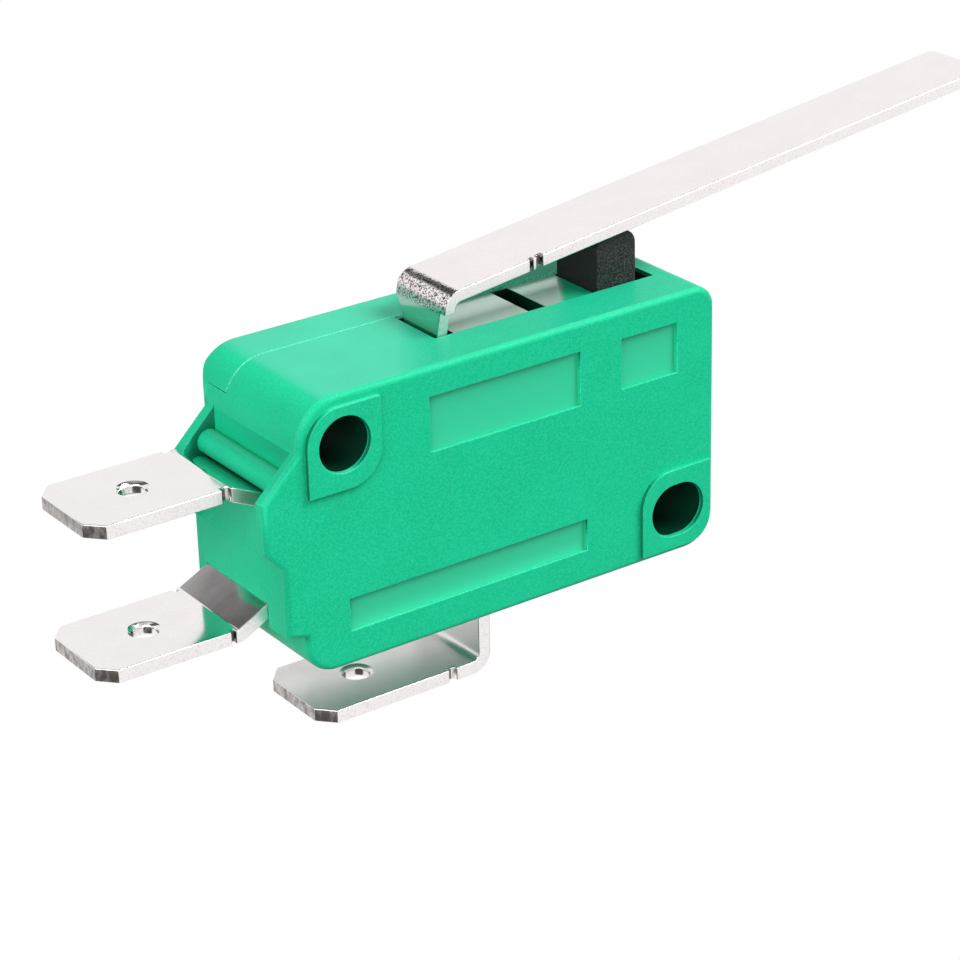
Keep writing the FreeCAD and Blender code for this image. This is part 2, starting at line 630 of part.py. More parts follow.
def fixed_contact(plate_z, face_z):
    """Rivet from plate_z, where its head sits on the plate, to face_z, with a shank behind."""
    direction = 1 if face_z > plate_z else -1
    base = FreeCAD.Vector(CONTACT_X, MECH_Y, plate_z)
    away = FreeCAD.Vector(0, 0, direction)
    head = Part.makeCylinder(CONTACT_RADIUS, abs(face_z - plate_z), base, away)
    shank = Part.makeCylinder(CONTACT_SHANK, TAB_THICKNESS, base, -away)
    far = FreeCAD.Vector(CONTACT_X, MECH_Y, plate_z - direction * TAB_THICKNESS)
    upset = Part.makeCone(CONTACT_SHANK + 0.3, CONTACT_SHANK, UPSET_HEAD, far, -away)
    return head.fuse([shank, upset]).removeSplitter()


def make_return_spring():
    """Coil from the case floor to just under the blade, with its axis upright."""
    left = SPRING_X - SPRING_RADIUS - SPRING_WIRE
    under = PIVOT_Z + (PIVOT_ROUND + PIVOT_GAP) / cos_deg(BLADE_REST_TILT)
    top = under + (left - PIVOT_X) * tan_deg(BLADE_REST_TILT) - SPRING_GAP - SPRING_WIRE
    bottom = Z_CAVITY_BOTTOM + SPRING_GAP + SPRING_WIRE
    height = top - bottom
    helix = Part.makeHelix(height / SPRING_TURNS, height, SPRING_RADIUS)
    corners = []
    for i in range(SPRING_WIRE_SIDES):
        angle = 360 * i / SPRING_WIRE_SIDES
        corners.append(FreeCAD.Vector(SPRING_RADIUS + SPRING_WIRE * cos_deg(angle), 0,
                                      SPRING_WIRE * sin_deg(angle)))
    section = Part.makePolygon(corners + corners[:1])
    coil = Part.Wire(helix).makePipeShell([section], True, True)
    coil.translate(FreeCAD.Vector(SPRING_X, MECH_Y, bottom))
    return coil


def lever_under(x):
    """Height of the lever's underside at x in the rest position."""
    top = LEVER_TOP_Z + (x - LEVER_TOP_X) * tan_deg(LEVER_TILT)
    return top - LEVER_THICKNESS / cos_deg(LEVER_TILT)


def make_plunger():
    half = PLUNGER_HALF_Y
    arc_x = PLUNGER_LEFT + PLUNGER_TOP_ROUND
    drop = (PLUNGER_TOP_ROUND + LEVER_GAP) / cos_deg(LEVER_TILT)
    top = lever_under(arc_x) - drop + PLUNGER_TOP_ROUND
    nose_x = (PLUNGER_LEFT + PLUNGER_RIGHT) / 2
    over = (BLADE_OVER_PIVOT + BLADE_THICKNESS / 2 + PLUNGER_NOSE + CONTACT_GAP)
    nose_z = (PIVOT_Z + over / cos_deg(BLADE_REST_TILT)
              + (nose_x - PIVOT_X) * tan_deg(BLADE_REST_TILT))
    stem = box(PLUNGER_LEFT, PLUNGER_RIGHT, -half, half, nose_z + 0.6, top)
    edges = [e for x in (PLUNGER_LEFT, PLUNGER_RIGHT) for e in stem.Edges
             if is_depth_edge(e, x, top)]
    stem = stem.makeFillet(PLUNGER_TOP_ROUND, edges)
    nose = cylinder_y(nose_x, nose_z, PLUNGER_NOSE, -half, half)
    neck = box(nose_x - PLUNGER_NOSE, nose_x + PLUNGER_NOSE, -half, half, nose_z, nose_z + 0.7)
    ledge = Z_CAVITY_TOP - PLUNGER_GUIDE_GAP
    flange = box(PLUNGER_RIGHT - 0.5, PLUNGER_FLANGE_RIGHT, -half, half,
                 ledge - PLUNGER_FLANGE_HEIGHT, ledge)
    return stem.fuse([nose, neck, flange]).removeSplitter()


def lever_line():
    """Middle line of the lever: foot, bend and long blade."""
    half = LEVER_THICKNESS / 2
    lean = tan_deg(FOOT_LEAN)
    foot_mid = FOOT_FACE_X + half / cos_deg(FOOT_LEAN)
    slope = tan_deg(LEVER_TILT)
    blade_mid = LEVER_TOP_Z - half / cos_deg(LEVER_TILT)
    z = blade_mid
    x = foot_mid
    for _ in range(20):
        x = foot_mid + lean * (z - CASE_HEIGHT)
        z = blade_mid + slope * (x - LEVER_TOP_X)
    bottom = (foot_mid + lean * (HINGE_Z - CASE_HEIGHT), HINGE_Z)
    tip = (LEVER_TIP_X, blade_mid + slope * (LEVER_TIP_X - LEVER_TOP_X))
    return bottom, (x, z), tip


def make_lever():
    """Bent strip whose foot ends in a round bar; the bar's ends are the ears that it turns on."""
    line = lever_line()
    wide = bent_strip(line, LEVER_THICKNESS, LEVER_BEND_RADIUS, -EAR_HALF_Y - 1, EAR_HALF_Y + 1)
    half = LEVER_WIDTH / 2
    far = LEVER_TIP_X + 2
    blade = box(-5, far, -half, half, FOOT_SHOULDER_Z, 30)
    side = ((FOOT_NEAR_Y, HINGE_Z - 1), (FOOT_FAR_Y, HINGE_Z - 1), (FOOT_FAR_Y, FOOT_TAPER_LOW_Z),
            (half, FOOT_SHOULDER_Z), (half, 30), (FOOT_NEAR_Y, 30))
    corners = [FreeCAD.Vector(-5, y, z) for y, z in side]
    foot = Part.Face(Part.makePolygon(corners + corners[:1])).extrude(FreeCAD.Vector(5, 0, 0))
    ears = cylinder_y(line[0][0], HINGE_Z, EAR_RADIUS, -EAR_HALF_Y, EAR_HALF_Y)
    lever = wide.common(blade.fuse(foot)).fuse(ears)
    cuts = []
    for side in (-1, 1):
        for x, width, depth in LEVER_NICKS:
            y0, y1 = sorted((side * (half - depth), side * (half + 1)))
            cuts.append(box(x, x + width, y0, y1, FOOT_SHOULDER_Z, 30))
        cx, cy = LEVER_TIP_X - LEVER_CORNER, side * (half - LEVER_CORNER)
        y0, y1 = sorted((cy, side * (half + 1)))
        corner = box(cx, far, y0, y1, FOOT_SHOULDER_Z, 30)
        round_end = Part.makeCylinder(LEVER_CORNER, 20, FreeCAD.Vector(cx, cy, FOOT_SHOULDER_Z), UP)
        cuts.append(corner.cut(round_end))
    return lever.cut(cuts).removeSplitter()


def export(name, shape):
    placed = shape.copy()
    placed.translate(-ORIGIN)
    if placed.ShapeType == "Compound" and len(placed.Solids) == 1:
        placed = placed.Solids[0]
    placed.exportStep("parts/" + name + ".step")


def main():
    os.makedirs("parts", exist_ok=True)
    open_face = dome_reach(1, -BLADE_REST_TILT) + CONTACT_GAP
    closed_face = dome_reach(-1, BLADE_REST_TILT) - CONTACT_GAP
    pieces = {
        "case": make_case(),
        "cover": make_cover(),
        "plunger": make_plunger(),
        "lever": make_lever(),
        "common_terminal": make_common_terminal(),
        "upper_terminal": end_terminal(upper_terminal_line(), UPPER_TAB_TOP, UPPER_NICK_WIDTH),
        "lower_terminal": make_lower_terminal(),
        "upper_contact": fixed_contact(UPPER_INNER_TOP - TAB_THICKNESS, open_face),
        "lower_contact": fixed_contact(LOWER_INNER_TOP, closed_face),
        "contact_blade": make_contact_blade(),
        "moving_contact": make_moving_contact(),
        "return_spring": make_return_spring(),
    }
    for name, shape in pieces.items():
        export(name, shape)


if __name__ == "__main__":
    main()
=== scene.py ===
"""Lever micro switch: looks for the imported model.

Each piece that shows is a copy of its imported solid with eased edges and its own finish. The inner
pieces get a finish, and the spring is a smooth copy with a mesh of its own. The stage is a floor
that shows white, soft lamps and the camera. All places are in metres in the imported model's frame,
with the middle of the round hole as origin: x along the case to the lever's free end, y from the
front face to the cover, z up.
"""
import math

import bpy
from bpy.props import FloatProperty, FloatVectorProperty, PointerProperty
from mathutils import Matrix, Vector


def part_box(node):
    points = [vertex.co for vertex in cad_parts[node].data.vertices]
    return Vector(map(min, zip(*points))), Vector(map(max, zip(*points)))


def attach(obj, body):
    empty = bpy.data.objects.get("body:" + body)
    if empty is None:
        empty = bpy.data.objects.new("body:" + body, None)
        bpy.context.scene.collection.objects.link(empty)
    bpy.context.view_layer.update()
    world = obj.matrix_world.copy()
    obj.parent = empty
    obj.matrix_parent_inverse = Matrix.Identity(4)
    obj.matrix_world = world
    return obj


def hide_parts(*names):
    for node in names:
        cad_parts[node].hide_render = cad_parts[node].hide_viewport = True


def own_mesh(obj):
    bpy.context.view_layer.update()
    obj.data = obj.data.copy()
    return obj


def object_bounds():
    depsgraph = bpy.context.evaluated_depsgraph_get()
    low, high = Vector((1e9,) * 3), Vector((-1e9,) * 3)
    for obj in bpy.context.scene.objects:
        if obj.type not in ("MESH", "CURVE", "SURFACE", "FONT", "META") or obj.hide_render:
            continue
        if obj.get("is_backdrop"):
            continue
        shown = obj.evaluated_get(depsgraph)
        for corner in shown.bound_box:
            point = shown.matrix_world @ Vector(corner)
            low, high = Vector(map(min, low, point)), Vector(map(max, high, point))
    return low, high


bl_info = {
    "name": "Lever micro switch",
    "version": (1, 0, 0),
    "blender": (4, 5, 0),
    "location": "View3D > Sidebar > Switch",
    "description": "Dresses the parts of a lever micro switch and sets a stage around it",
    "category": "Object",
}

MM = 0.001
AXES = {"X": Vector((1, 0, 0)), "Y": Vector((0, 1, 0)), "Z": Vector((0, 0, 1))}
MERGE_DISTANCE = 0.0005 * MM
FLAT_ANGLE = math.radians(0.5)
SHARP_ANGLE = math.radians(35)
SMOOTH_ANGLE = math.radians(50)
EASED = "eased_face"

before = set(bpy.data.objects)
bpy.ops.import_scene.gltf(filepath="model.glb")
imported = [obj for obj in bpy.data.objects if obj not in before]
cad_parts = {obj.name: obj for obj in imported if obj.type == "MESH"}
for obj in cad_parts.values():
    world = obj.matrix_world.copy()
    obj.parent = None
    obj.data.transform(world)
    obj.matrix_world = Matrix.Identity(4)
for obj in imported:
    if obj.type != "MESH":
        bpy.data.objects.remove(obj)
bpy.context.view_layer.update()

# The front face lies as far before the middle of the case as the cover's face lies behind it
FRONT_FACE = -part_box("cover")[1].y
PAD_RISE = 0.25 * MM
FIELD_DEPTH = 0.25 * MM
FIELD_FLOOR = FRONT_FACE + FIELD_DEPTH
FIELD_MARGIN = 0.03 * MM

# The slotted hole's middle, its half length and the half width of both holes, with a margin
SLOT_X = 22.2 * MM
SLOT_Z = -10.3 * MM
SLOT_HALF_LENGTH = 2.0 * MM
HOLE_HALF_WIDTH = 1.75 * MM

# Planes that cross the holes of the case and the hole of a tab
HOLE_CUTS = (("Z", 0.0), ("Z", SLOT_Z))
TAB_HOLE_CUTS = (("Y", -0.3 * MM),)

# Boxes round the deep bores and the inside of the case, from corner to corner, which get painted shade
BORE_DEPTH = 5.08 * MM
ROUND_BORE = ((-HOLE_HALF_WIDTH, -BORE_DEPTH, -HOLE_HALF_WIDTH),
              (HOLE_HALF_WIDTH, BORE_DEPTH, HOLE_HALF_WIDTH))
SLOT_BORE = ((SLOT_X - SLOT_HALF_LENGTH, -BORE_DEPTH, SLOT_Z - HOLE_HALF_WIDTH),
             (SLOT_X + SLOT_HALF_LENGTH, BORE_DEPTH, SLOT_Z + HOLE_HALF_WIDTH))
CAVITY = ((8 * MM, -4.85 * MM, -12.7 * MM), (23.6 * MM, 4.85 * MM, 2.55 * MM))

# The painted reflection on the strip under the lever fades out in front of the plunger, aslant in plan
STRIP = ((8.1 * MM, -2.0 * MM, 2.57 * MM), (23.2 * MM, 2.1 * MM, 2.63 * MM))
STRIP_SLANT = 0.7
STRIP_END = (17.7 * MM, 18.3 * MM)

# Where the painted sheen on the top's pale end turns into the painted shade beside the lever
TOP_END = (7.0 * MM, 9.5 * MM)

# The pads' rims, a little inside their height, are dark where they face the terminals or down
RIM_MARGIN = 0.01 * MM
RIM_TURN = (-0.2, -0.7)
RIM_SHADE = 0.7

# The far fin's inner face, which is darker towards the case
FAR_FIN = ((-5.1 * MM, 3.22 * MM, -5.2 * MM), (-2.75 * MM, 3.28 * MM, 0.1 * MM))
FAR_FIN_DEEP = (-4.9 * MM, -4.2 * MM)
FAR_FIN_SHADE = 0.75

# The seam of case and cover gets a painted highlight past SEAM_TURN's x, and before it only above its
# z
SEAM_Y = 2.065 * MM
SEAM_REACH = 0.07 * MM
SEAM_TURN = (-2.0 * MM, 1.1 * MM)

# The lever's bend: its middle, its lower end and how far the pits and the foot reach
LEVER_BEND_X = 9.05 * MM
LEVER_BEND_LOW_Z = 4.0 * MM
LEVER_BEND_REACH = 0.9 * MM
LEVER_BEND_FADE = 0.1 * MM
LEVER_FOOT_REACH = 1.1 * MM

# Middle and half length of each place with nicks, and the sheet's half width there
LEVER_NICKS = (14.72 * MM, 0.5 * MM, 2.35 * MM)
TAB_NICKS = {
    "upper_terminal": (-6.2 * MM, 0.3 * MM, 3.15 * MM),
    "lower_terminal": (-6.2 * MM, 0.3 * MM, 3.15 * MM),
    "common_terminal": (7.6 * MM, 0.3 * MM, 3.15 * MM),
}

# How far inside the sheet's sides the walls of the nicks are shaded, at the floor and at the side
NICK_DEEP = (-0.34 * MM, -0.33 * MM)
NICK_SHALLOW = (-0.02 * MM, -0.015 * MM)
NICK_SHADE = 0.85

# Box round the nicks in the lever's far edge, which the photograph doesn't show
LEVER_FAR_NICKS = ((14.0 * MM, 1.9 * MM, 3 * MM), (15.4 * MM, 2.4 * MM, 9 * MM))

# How near the end of a sheet its torn edge lies, and the shade of its dull patches
SHEET_END_REACH = 1 * MM
SHEET_DULL = 0.92

# Colour and roughness of the inner metals, and the shade of their duller grains
INNER_METALS = {
    "contact_metal": ((0.86, 0.85, 0.83), 0.30),
    "blade_metal": ((0.78, 0.46, 0.25), 0.30),
    "spring_steel": ((0.55, 0.55, 0.55), 0.28),
}
INNER_DULL = (0.85, 0.84, 0.83)

# Each lamp's direction from the point that all of them face, and the length of its side
MIDDLE = Vector((12 * MM, 0, -5 * MM))
LAMP_DISTANCE = 0.5
LAMPS = {
    "key": ((0.517, -0.422, 0.746), 0.25),
    "fill": ((-0.75, -0.50, 0.43), 0.45),
    "top": ((-0.05, 0.20, 0.98), 0.40),
}

FLOOR_RADIUS = 3.0
FLOOR_SIDES = 96
SENSOR_WIDTH = 36.0
PICTURE_WIDTH = 960
CLIP_START = 0.01
CLIP_END = 20.0
BLACK = (0.0, 0.0, 0.0, 1.0)
WHITE = (1.0, 1.0, 1.0, 1.0)

# Places of the Mix node's share, first and second input, and of its output, for each kind
MIX_SLOTS = {"RGBA": (0, 6, 7, 2), "FLOAT": (0, 2, 3, 0)}


class HousingSettings(bpy.types.PropertyGroup):
    """Sizes and colours of the moulded case and cover."""
    edge_width: FloatProperty(
        name="Edge width", description="Width of the eased edges of the mouldings",
        default=0.05 * MM, subtype="DISTANCE", unit="LENGTH")
    grain_scale: FloatProperty(
        name="Grain scale", description="Number of grains of the moulded surface in a metre",
        default=9000.0)
    grain_height: FloatProperty(
        name="Grain height", description="Height of the grain on the moulded faces",
        default=0.0035 * MM, subtype="DISTANCE", unit="LENGTH")
    colour: FloatVectorProperty(
        name="Colour", description="Colour of the green plastic", subtype="COLOR", size=3,
        default=(0.003, 0.584, 0.289), min=0, max=1)
    # The upward faces get a painted sheen of the light from above, and beside the lever painted shade
    top_sheen_colour: FloatVectorProperty(
        name="Top colour", description="Colour of the paler upward faces", subtype="COLOR",
        size=3, default=(0.06, 0.58, 0.37), min=0, max=1)
    shaded_top_colour: FloatVectorProperty(
        name="Shaded top colour", description="Colour of the upward faces beside the lever",
        subtype="COLOR", size=3, default=(0.008, 0.47, 0.26), min=0, max=1)
    # Painted highlight on the eased edges; the grain's lighter specks take this colour too
    edge_colour: FloatVectorProperty(
        name="Edge colour", description="Colour of the eased edges, which catch the light",
        subtype="COLOR", size=3, default=(0.05, 0.70, 0.43), min=0, max=1)
    # Painted highlight along the edges of the seam
    seam_highlight_colour: FloatVectorProperty(
        name="Seam colour", description="Colour of the rubbed edges of the seam",
        subtype="COLOR", size=3, default=(0.16, 0.76, 0.54), min=0, max=1)
    # Painted sheen on the smooth floors of the sunk fields, lighter than the grained faces
    field_sheen_colour: FloatVectorProperty(
        name="Field colour", description="Colour of the smooth floors of the sunk fields",
        subtype="COLOR", size=3, default=(0.035, 0.61, 0.337), min=0, max=1)
    # Painted reflection on the pale strip under the lever
    strip_reflection_colour: FloatVectorProperty(
        name="Strip colour", description="Colour of the rubbed strip under the lever",
        subtype="COLOR", size=3, default=(0.66, 0.84, 0.75), min=0, max=1)
    # Painted shade for the bores, the inside of the case, the pads' rims and the far fin
    painted_shade_colour: FloatVectorProperty(
        name="Bore colour", description="Colour of the walls of the bores and of the inside",
        subtype="COLOR", size=3, default=(0.0005, 0.035, 0.018), min=0, max=1)
    roughness: FloatProperty(
        name="Roughness", description="Roughness of the grained faces",
        default=0.46, min=0, max=1, subtype="FACTOR")
    smooth_roughness: FloatProperty(
        name="Smooth roughness", description="Roughness of the sunk fields and the rubbed strip",
        default=0.2, min=0, max=1, subtype="FACTOR")
    strip_metallic: FloatProperty(
        name="Strip mirror", description="How much the rubbed strip mirrors the plunger",
        default=0.55, min=0, max=1, subtype="FACTOR")
    specular: FloatProperty(
        name="Specular level", description="Strength of the green plastic's highlights",
        default=0.15, min=0, max=1, subtype="FACTOR")


class PlungerSettings(bpy.types.PropertyGroup):
    """Finish of the plunger."""
    edge_width: FloatProperty(
        name="Edge width", description="Width of the eased edges of the plunger",
        default=0.06 * MM, subtype="DISTANCE", unit="LENGTH")
    colour: FloatVectorProperty(
        name="Colour", description="Colour of the black plastic", subtype="COLOR", size=3,
        default=(0.007, 0.0075, 0.0075), min=0, max=1)
    fleck_factor: FloatProperty(
        name="Fleck factor", description="How many times lighter the flecks are", default=11.0)
    grain_height: FloatProperty(
        name="Grain height", description="Height of the grain on the plunger",
        default=0.006 * MM, subtype="DISTANCE", unit="LENGTH")
    specular: FloatProperty(
        name="Specular level", description="Strength of the black plastic's highlights",
        default=0.2, min=0, max=1, subtype="FACTOR")


class MetalSettings(bpy.types.PropertyGroup):
    """Finish of the lever and the terminals."""
    edge_width: FloatProperty(
        name="Edge width", description="Width of the eased edges of the sheet metal",
        default=0.07 * MM, subtype="DISTANCE", unit="LENGTH")
    lever_colour: FloatVectorProperty(
        name="Lever colour", description="Colour of the lever's steel", subtype="COLOR", size=3,
        default=(0.93, 0.872, 0.876), min=0, max=1)
    tab_colour: FloatVectorProperty(
        name="Tab colour", description="Colour of the plated terminals", subtype="COLOR", size=3,
        default=(0.90, 0.868, 0.864), min=0, max=1)
    cut_colour: FloatVectorProperty(
        name="Cut edge colour", description="Colour of the sheared edges", subtype="COLOR", size=3,
        default=(0.24, 0.225, 0.215), min=0, max=1)
    # Painted dark reflection on the chamfers and painted shade in the nicks; the bend's pits take it
    # too
    chamfer_colour: FloatVectorProperty(
        name="Chamfer colour", description="Colour of the torn corners of the tabs",
        subtype="COLOR", size=3, default=(0.085, 0.073, 0.066), min=0, max=1)
    # Painted reflection of the green case on the lever's foot
    foot_colour: FloatVectorProperty(
        name="Foot colour", description="Colour of the lever's foot, which mirrors the case",
        subtype="COLOR", size=3, default=(0.30, 0.52, 0.42), min=0, max=1)
    lever_roughness: FloatProperty(
        name="Lever roughness", description="Roughness of the lever's flat faces",
        default=0.10, min=0, max=1, subtype="FACTOR")
    tab_roughness: FloatProperty(
        name="Tab roughness", description="Roughness of the terminals' flat faces",
        default=0.11, min=0, max=1, subtype="FACTOR")
    dull_roughness: FloatProperty(
        name="Dull roughness", description="Roughness of the common terminal, which is duller",
        default=0.33, min=0, max=1, subtype="FACTOR")
    cut_roughness: FloatProperty(
        name="Cut roughness", description="Roughness of the sheared edges and torn ends",
        default=0.4, min=0, max=1, subtype="FACTOR")


class StageSettings(bpy.types.PropertyGroup):
    """Camera, floor and lamps."""
    azimuth: FloatProperty(
        name="Azimuth", description="Turn of the camera round the switch, 0 looks along +Y",
        default=math.radians(-34.79), subtype="ANGLE", unit="ROTATION")
    elevation: FloatProperty(
        name="Elevation", description="Height of the camera above the horizon",
        default=math.radians(24.90), subtype="ANGLE", unit="ROTATION")
    roll: FloatProperty(
        name="Roll", description="Turn of the camera about its own line of sight",
        default=math.radians(-1.53), subtype="ANGLE", unit="ROTATION")
    distance: FloatProperty(
        name="Distance", description="Distance from the camera to the point it looks at",
        default=172.14 * MM, subtype="DISTANCE", unit="LENGTH")
    focal_pixels: FloatProperty(
        name="Focal length in pixels", description="Focal length for a picture 960 pixels wide",
        default=3049.7)
    aim: FloatVectorProperty(
        name="Aim", description="Point that the camera looks at", subtype="XYZ", unit="LENGTH",
        size=3, default=(12.217 * MM, 0.0, -7.521 * MM))
    floor_drop: FloatProperty(
        name="Floor drop", description="Height of the switch above the floor",
        default=70 * MM, subtype="DISTANCE", unit="LENGTH")
    floor_colour: FloatVectorProperty(
        name="Floor colour", description="Colour of the floor to the light that falls on it",
        subtype="COLOR", size=3, default=(0.12, 0.12, 0.12), min=0, max=1)
    key_power: FloatProperty(
        name="Key lamp", description="Power of the lamp above the lever end", default=2.25,
        subtype="POWER", unit="POWER")
    fill_power: FloatProperty(
        name="Fill lamp", description="Power of the soft lamp at the terminal end", default=2.10,
        subtype="POWER", unit="POWER")
    top_power: FloatProperty(
        name="Top lamp", description="Power of the soft lamp overhead", default=0.15,
        subtype="POWER", unit="POWER")
    world_level: FloatProperty(
        name="World level", description="Strength of the light from all round", default=0.30)
    dim_from: FloatProperty(
        name="Dim from", description="Height at which the room's upper part starts to dim",
        default=math.radians(34.6), subtype="ANGLE", unit="ROTATION")
    dim_to: FloatProperty(
        name="Dim to", description="Height at which the room's upper part is dimmest",
        default=math.radians(38.6), subtype="ANGLE", unit="ROTATION")
    dim_level: FloatProperty(
        name="Dim level", description="Brightness of the room's upper part in reflections",
        default=0.10)


def select_only(piece):
    """Makes the piece the only one that the next operators work on."""
    bpy.ops.object.select_all(action="DESELECT")
    piece.hide_set(False)
    piece.select_set(True)
    bpy.context.view_layer.objects.active = piece


def mark_outer_edges(mesh):
    """Gives full bevel weight to the sharp edges that stand out, and none to inner corners."""
    uses = {}
    for face in mesh.polygons:
        loops = [mesh.loops[index] for index in face.loop_indices]
        for loop, following in zip(loops, loops[1:] + loops[:1]):
            uses.setdefault(loop.edge_index, []).append(
                (face.normal, loop.vertex_index, following.vertex_index))
    weights = mesh.attributes.new("bevel_weight_edge", "FLOAT", "EDGE")
    for index, ((first, _, _), (second, start, end)) in uses.items():
        inward = second.cross(mesh.vertices[end].co - mesh.vertices[start].co)
        stands_out = first.dot(inward) < 0
        weights.data[index].value = float(stands_out and first.angle(second) > SHARP_ANGLE)


def note_eased_faces(mesh):
    """Keeps as an attribute which faces the easing made, and gives them the first material slot."""
    noted = mesh.attributes.new(EASED, "FLOAT", "FACE")
    for face in mesh.polygons:
        noted.data[face.index].value = float(face.material_index == 1)
        face.material_index = 0


def merged_copy(node, name):
    """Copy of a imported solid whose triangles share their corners."""
    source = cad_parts[node]
    piece = bpy.data.objects.new(name, source.data.copy())
    bpy.context.scene.collection.objects.link(piece)
    piece.data.materials.clear()
    select_only(piece)
    bpy.ops.object.mode_set(mode="EDIT")
    bpy.ops.mesh.select_all(action="SELECT")
    bpy.ops.mesh.remove_doubles(threshold=MERGE_DISTANCE)
    bpy.ops.object.mode_set(mode="OBJECT")
    return piece


def fill_nicks(piece, low, high, side_y):
    """Moves the floors of the nicks in a box out to the side of the sheet, so that they close."""
    for vertex in piece.data.vertices:
        if all(least <= part <= most for least, part, most in zip(low, vertex.co, high)):
            vertex.co.y = side_y
    bpy.ops.object.mode_set(mode="EDIT")
    bpy.ops.mesh.select_all(action="SELECT")
    bpy.ops.mesh.remove_doubles(threshold=MERGE_DISTANCE)
    bpy.ops.object.mode_set(mode="OBJECT")


def eased_copy(node, name, width, cuts=(), filled=None):
    """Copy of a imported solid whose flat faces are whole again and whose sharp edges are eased.

    Each cut, an axis and a place on it, crosses holes in the flat faces, so that no face is left
    with a hole. Filled gives the corners of the box round the nicks that close, and their side.
    """
    piece = merged_copy(node, name)
    if filled is not None:
        fill_nicks(piece, *filled)
    piece.data.materials.append(None)
    piece.data.materials.append(None)
    bpy.ops.object.mode_set(mode="EDIT")
    for axis, place in cuts:
        bpy.ops.mesh.select_all(action="SELECT")
        bpy.ops.mesh.bisect(plane_co=AXES[axis] * place, plane_no=AXES[axis])
        bpy.ops.mesh.mark_seam()
    bpy.ops.mesh.select_all(action="SELECT")
    bpy.ops.mesh.dissolve_limited(angle_limit=FLAT_ANGLE, delimit={"SEAM"})
    bpy.ops.mesh.select_all(action="DESELECT")
    bpy.ops.object.mode_set(mode="OBJECT")
    mark_outer_edges(piece.data)
    bevel = piece.modifiers.new("Eased edges", "BEVEL")
    bevel.width = width
    bevel.segments = 2
    bevel.limit_method = "WEIGHT"
    bevel.use_clamp_overlap = False
    bevel.material = 1
    bpy.ops.object.modifier_apply(modifier=bevel.name)
    note_eased_faces(piece.data)
    bpy.ops.object.shade_smooth_by_angle(angle=SMOOTH_ANGLE)
    shading = piece.modifiers.new("Flat faces stay flat", "WEIGHTED_NORMAL")
    shading.weight = 100
    shading.keep_sharp = True
    bpy.ops.object.modifier_apply(modifier=shading.name)
    return piece


def stand_in(piece, node, body, material):
    """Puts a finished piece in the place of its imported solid."""
    piece.data.materials.clear()
    piece.data.materials.append(material)
    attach(piece, body)
    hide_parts(node)


def finish_node(name, material):
    """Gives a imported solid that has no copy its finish."""
    mesh_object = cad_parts[name]
    mesh_object.data.materials.clear()
    mesh_object.data.materials.append(material)


def rgba(colour, factor=1.0):
    """The colour with full cover, lighter or darker by a factor."""
    return tuple(part * factor for part in colour) + (1.0,)


class Finish:
    """One material and the small set of joins that its nodes need."""

    def __init__(self, name):
        self.material = bpy.data.materials.new(name)
        self.material.use_nodes = True
        self.tree = self.material.node_tree
        self.shader = self.tree.nodes["Principled BSDF"]
        self.coordinates = self.add("ShaderNodeTexCoord")

    def feed(self, entry, value):
        """Links a socket to an input, or sets the input to a plain value."""
        if isinstance(value, bpy.types.NodeSocket):
            self.tree.links.new(value, entry)
        else:
            entry.default_value = value

    def add(self, kind, inputs=None, **settings):
        """Adds a node with its settings, and feeds its inputs, given by name or by place."""
        made = self.tree.nodes.new(kind)
        for key, value in settings.items():
            setattr(made, key, value)
        for key, value in (inputs or {}).items():
            self.feed(made.inputs[key], value)
        return made

    def into_shader(self, key, value):
        self.feed(self.shader.inputs[key], value)

    def noise(self, scale, detail, roughness, stretch=None):
        """Noise between 0 and 1, with fewer grains along an axis whose stretch is below 1."""
        place = self.coordinates.outputs["Object"]
        if stretch is not None:
            place = self.add("ShaderNodeMapping", {"Vector": place, "Scale": stretch}).outputs[0]
        texture = self.add("ShaderNodeTexNoise", {
            "Vector": place, "Scale": scale, "Detail": detail, "Roughness": roughness})
        return texture.outputs["Fac"]

    def ramp(self, value, low, high, to_low=0.0, to_high=1.0):
        """Turns the span from low to high into another one, and keeps within its ends."""
        node = self.add("ShaderNodeMapRange", {
            "Value": value, "From Min": low, "From Max": high, "To Min": to_low, "To Max": to_high})
        return node.outputs["Result"]

    def maths(self, operation, *values):
        node = self.add("ShaderNodeMath", dict(enumerate(values)), operation=operation)
        return node.outputs[0]

    def blend(self, share, first, second, kind="RGBA"):
        """Mix of two colours, or of two numbers, with the second one's share."""
        node = self.add("ShaderNodeMix", data_type=kind)
        *entries, result = MIX_SLOTS[kind]
        for entry, value in zip(entries, (share, first, second)):
            self.feed(node.inputs[entry], value)
        return node.outputs[result]

    def coated(self, colour, coats):
        """Lays coats over a colour in turn, each given by its share and its own colour."""
        for share, coat in coats:
            colour = self.blend(share, colour, coat)
        return colour

    def bump(self, height, distance, under=None):
        """Bumps of a given height, on top of other bumps if there are any."""
        inputs = {"Height": height, "Distance": distance}
        if under is not None:
            inputs["Normal"] = under
        return self.add("ShaderNodeBump", inputs).outputs["Normal"]

    def part(self, kind, axis):
        parts = self.add("ShaderNodeSeparateXYZ", {0: self.coordinates.outputs[kind]})
        return parts.outputs[axis]

    def position(self, axis):
        return self.part("Object", axis)

    def direction(self, axis):
        """How far the surface faces along the axis, from -1 to 1."""
        return self.part("Normal", axis)

    def facing(self, axis):
        """1 where the surface faces along the axis, either way."""
        return self.maths("ABSOLUTE", self.direction(axis))

    def eased(self):
        """1 on the faces that the easing of the edges made."""
        return self.add("ShaderNodeAttribute", attribute_name=EASED).outputs["Fac"]

    def near(self, axis, place, reach):
        """1 where the surface lies within reach of a place on the axis."""
        return self.maths("COMPARE", self.position(axis), place, reach)

    def inside(self, low, high):
        """1 where the surface lies inside the box between two corners."""
        share = 1.0
        for axis, least, most in zip("XYZ", low, high):
            part = self.near(axis, (least + most) / 2, (most - least) / 2)
            share = self.maths("MULTIPLY", share, part)
        return share


